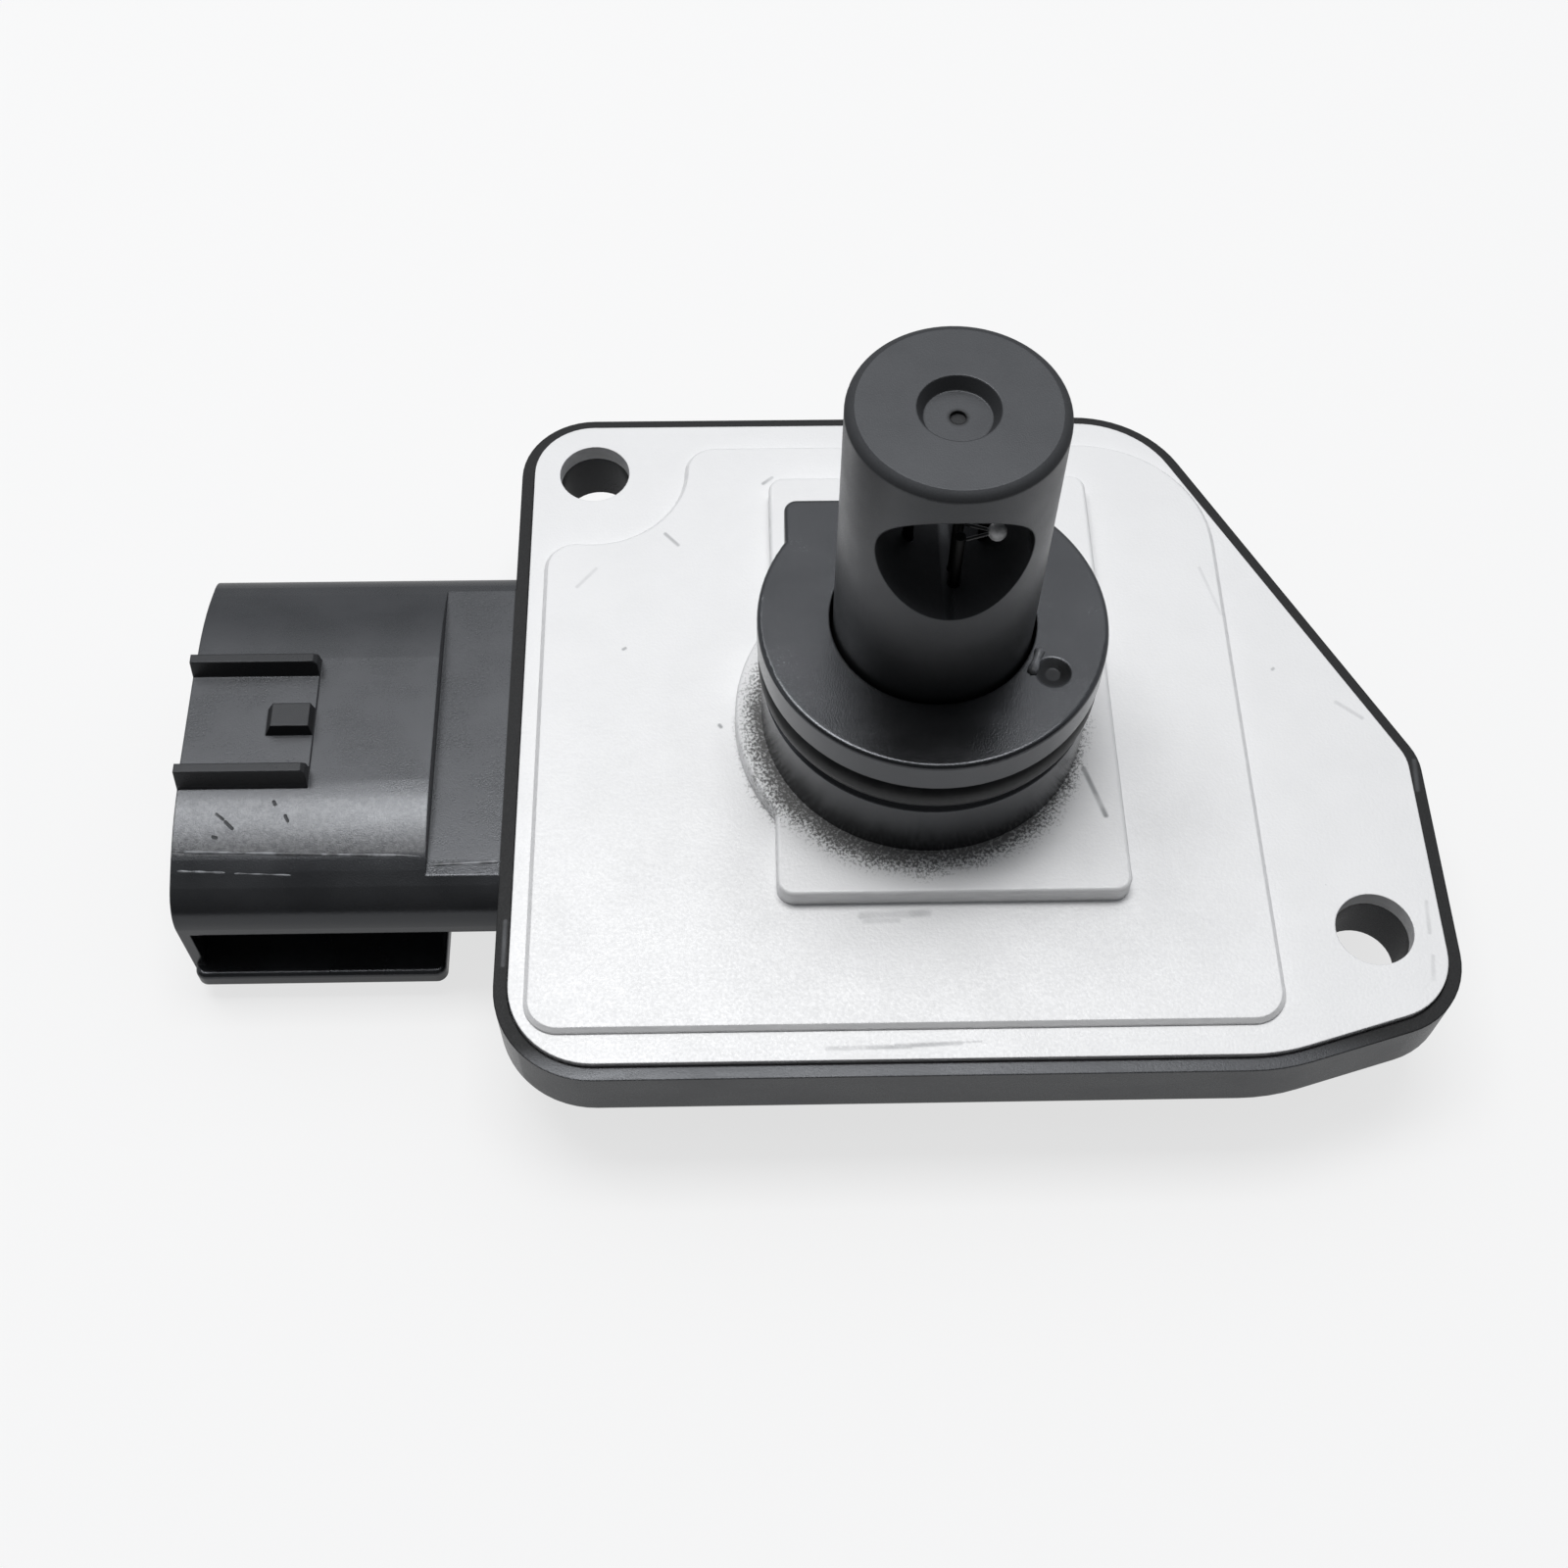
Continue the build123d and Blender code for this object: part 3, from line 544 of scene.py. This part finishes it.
def matt_block(name, colour, grain=0.2, roughness=0.6):
    """Matt epoxy or ceramic of the parts on the board."""
    f = Finish(name)
    fine = f.noise(grain, 3.0)
    tinted = f.blend(fine.ramp(0.3, 0.7), colour, tuple(1.25 * part for part in colour[:3]) + (1.0,))
    rounded = f.rounded(BLOCK_EDGE)
    return f.finish(Base_Color=tinted, Roughness=roughness + (fine - 0.5) * 0.2,
                    Normal=f.bump(fine, 0.01, rounded))


def finishes():
    """Every finish by the record's slot name."""
    along_z = (1.0, 1.0, 0.08)
    along_x = (0.08, 1.0, 1.0)
    return {
        "housing_black": housing_black(),
        "cover_black": cover_black(),
        "bush_black": bush_black(),
        "tube_black": tube_black(),
        "carrier_plastic": carrier_plastic(),
        "cast_plate": cast_metal(),
        "sealant": sealant(),
        "ring_rubber": ring_rubber(),
        # The pins are coloured near black as painted shade of the air passage they stand in.
        "pin_steel": drawn_metal("pin_steel", grey(0.02), 0.5, along_z),
        "terminal_tin": drawn_metal("terminal_tin", grey(0.7, WARM), 0.28, along_x),
        "element_coat": glazed("element_coat", grey(0.012), 0.5),
        "bead_coat": glazed("bead_coat", grey(0.85), 0.2),
        "board_laminate": board_laminate(),
        "chip_black": matt_block("chip_black", grey(0.02)),
        "capacitor_coat": matt_block("capacitor_coat", (0.3, 0.19, 0.1, 1.0)),
    }


def dress(made):
    """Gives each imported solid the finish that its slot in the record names."""
    for part in frame["record"]["subparts"]:
        mesh = nodes[part["node"]].data
        mesh.materials.clear()
        mesh.materials.append(made[part["material_slot"]])


def crown(y, top):
    """Level of the connector's crown at Y, under its own top level, in millimetres."""
    out = max(abs(y - CROWN_MIDDLE) - CROWN_FLAT, 0.0)
    knee = CROWN_RADIUS * sin(CROWN_SLOPE)
    if out < knee:
        return top - CROWN_RADIUS + (CROWN_RADIUS ** 2 - out ** 2) ** 0.5
    return top - CROWN_RADIUS * (1 - cos(CROWN_SLOPE)) - (out - knee) * sin(CROWN_SLOPE) / cos(CROWN_SLOPE)


def flash_line(name, path, width, height, material):
    """Low rounded line of flash that the mould leaves along a path, thin at its ends."""
    ring = 7
    sunk = 0.06
    bm = bmesh.new()
    rings = []
    for index, (place, up) in enumerate(path):
        before = path[max(index - 1, 0)][0]
        after = path[min(index + 1, len(path) - 1)][0]
        side = (Vector(after) - Vector(before)).cross(up).normalized()
        end = min(index, len(path) - 1 - index) / (len(path) - 1)
        swell = min(1.0, 0.35 + 8 * end) * (0.85 + 0.15 * sin(7.0 * index))
        points = [Vector(place) + side * (width / 2 * swell * cos(pi * step / (ring - 1)))
                  + up * (height * swell * sin(pi * step / (ring - 1)) - sunk) for step in range(ring)]
        rings.append([bm.verts.new(point * MM) for point in points])
    for first, second in zip(rings, rings[1:]):
        for step in range(ring):
            bm.faces.new((first[step - 1], first[step], second[step], second[step - 1]))
    bm.faces.new(reversed(rings[0]))
    bm.faces.new(rings[-1])
    bmesh.ops.recalc_face_normals(bm, faces=bm.faces)
    for face in bm.faces:
        face.smooth = len(face.verts) == 4
    mesh = bpy.data.meshes.new(name)
    bm.to_mesh(mesh)
    bm.free()
    mesh.materials.append(material)
    made = bpy.data.objects.new(name, mesh)
    bpy.context.scene.collection.objects.link(made)
    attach(made, "root")
    return made


def crown_path(start, end, top, steps=24):
    """Places and normals along the connector's crown between two points seen from above."""
    path = []
    for step in range(steps + 1):
        x = start[0] + (end[0] - start[0]) * step / steps
        y = start[1] + (end[1] - start[1]) * step / steps
        slope = (crown(y + 0.05, top) - crown(y - 0.05, top)) / 0.1
        path.append(((x, y, crown(y, top)), Vector((0, -slope, 1)).normalized()))
    return path


def level_path(start, end, level, up, steps=12):
    """Places along a straight line between two points seen from above, at one level."""
    return [((*Vector(start).lerp(Vector(end), step / steps), level), up) for step in range(steps + 1)]


def moulding_flash():
    """Parting lines on the connector, and the torn gate on the bush's flange."""
    # The mould lines and the gate burr get the rubbed flash plastic, painted paler as a highlight.
    rubbed = rubbed_flash_painted_highlight()
    for name, (start, end, width, height) in SHELL_LINES.items():
        flash_line(name, crown_path(start, end, SHELL_TOP), width, height, rubbed)
    start, end, width, height = NECK_LINE
    neck = level_path(start, end, RIM_TOP, Vector((0, 0, 1)))
    flash_line("neck_parting_line", neck, width, height, rubbed)
    start, end, width, height = GATE_BURR
    torn = level_path(start, end, BURR_LEVEL, Vector((0.1, -0.2, 1)).normalized())
    flash_line("bush_gate_burr", torn, width, height, rubbed)


def floor():
    """Pale floor that the sensor rests on. What looks at it sees it pale, and shadows stay."""
    low = cad_box[0].z
    bm = bmesh.new()
    bmesh.ops.create_circle(bm, cap_ends=True, radius=FLOOR_SPREAD, segments=96,
                            matrix=Matrix.Translation((0, 0, low)))
    mesh = bpy.data.meshes.new("floor")
    bm.to_mesh(mesh)
    bm.free()
    made = bpy.data.objects.new("floor", mesh)
    bpy.context.scene.collection.objects.link(made)
    f = Finish("floor_pale")
    straight = f.node("ShaderNodeLightPath", {}, {}, "Is Camera Ray")
    seen = straight
    for ray in ("Is Glossy Ray", "Is Transmission Ray"):
        seen = seen.larger(f.node("ShaderNodeLightPath", {}, {}, ray))
    matt = f.node("ShaderNodeBsdfDiffuse", {}, {"Color": grey(0.93)})
    strength = straight * (1 - FLOOR_MIRRORED) + FLOOR_MIRRORED
    glow = f.node("ShaderNodeEmission", {}, {"Color": grey(1.0), "Strength": strength})
    shader = f.node("ShaderNodeMixShader", {}, {0: seen * FLOOR_GLOW, 1: matt, 2: glow})
    mesh.materials.append(f.ended(shader))


def lamps():
    """A softbox just beyond the zenith and a broad dimmer panel further to the far side."""
    for name, (width, height, aside, distance, lean, watts) in LAMPS.items():
        data = bpy.data.lights.new(name, "AREA")
        data.shape = "RECTANGLE"
        data.size = width
        data.size_y = height
        data.energy = watts
        lamp = bpy.data.objects.new(name, data)
        lamp.location = (aside, distance * sin(lean), distance * cos(lean))
        lamp.rotation_euler = (-lean, 0, 0)
        bpy.context.scene.collection.objects.link(lamp)


def room():
    """Pale room, darker on the viewer's side."""
    world = bpy.data.worlds.new("pale_room")
    bpy.context.scene.world = world
    tree = NodeTree(world)
    direction = tree.node("ShaderNodeTexCoord", {}, {}, "Generated")
    away = tree.node("ShaderNodeSeparateXYZ", {}, {0: direction}, "Y")
    level = away.ramp(*ROOM_EDGE, ROOM_DARK, ROOM_PALE)
    sky = tree.node("ShaderNodeBackground", {}, {"Color": grey(1.0, COOL), "Strength": level})
    tree.node("ShaderNodeOutputWorld", {}, {"Surface": sky})


def camera():
    """Camera at the photograph's viewing angle."""
    data = bpy.data.cameras.new("camera")
    data.lens = LENS
    data.sensor_width = SENSOR
    data.clip_start = 1 * MM
    made = bpy.data.objects.new("camera", data)
    level_part = cos(CAMERA_TILT)
    ahead = Vector((sin(CAMERA_YAW) * level_part, cos(CAMERA_YAW) * level_part, -sin(CAMERA_TILT)))
    level = Vector((cos(CAMERA_YAW), -sin(CAMERA_YAW), 0))
    down = ahead.cross(level)
    right = cos(CAMERA_ROLL) * level + sin(CAMERA_ROLL) * down
    up = sin(CAMERA_ROLL) * level - cos(CAMERA_ROLL) * down
    turn = Matrix((right, up, -ahead)).transposed().to_4x4()
    made.matrix_world = Matrix.Translation((CAMERA_X, CAMERA_Y, CAMERA_Z)) @ turn
    bpy.context.scene.collection.objects.link(made)
    bpy.context.scene.camera = made


camera()
lamps()
room()
floor()
made_finishes = finishes()
dress(made_finishes)
moulding_flash()
bpy.context.scene.view_settings.view_transform = "Standard"
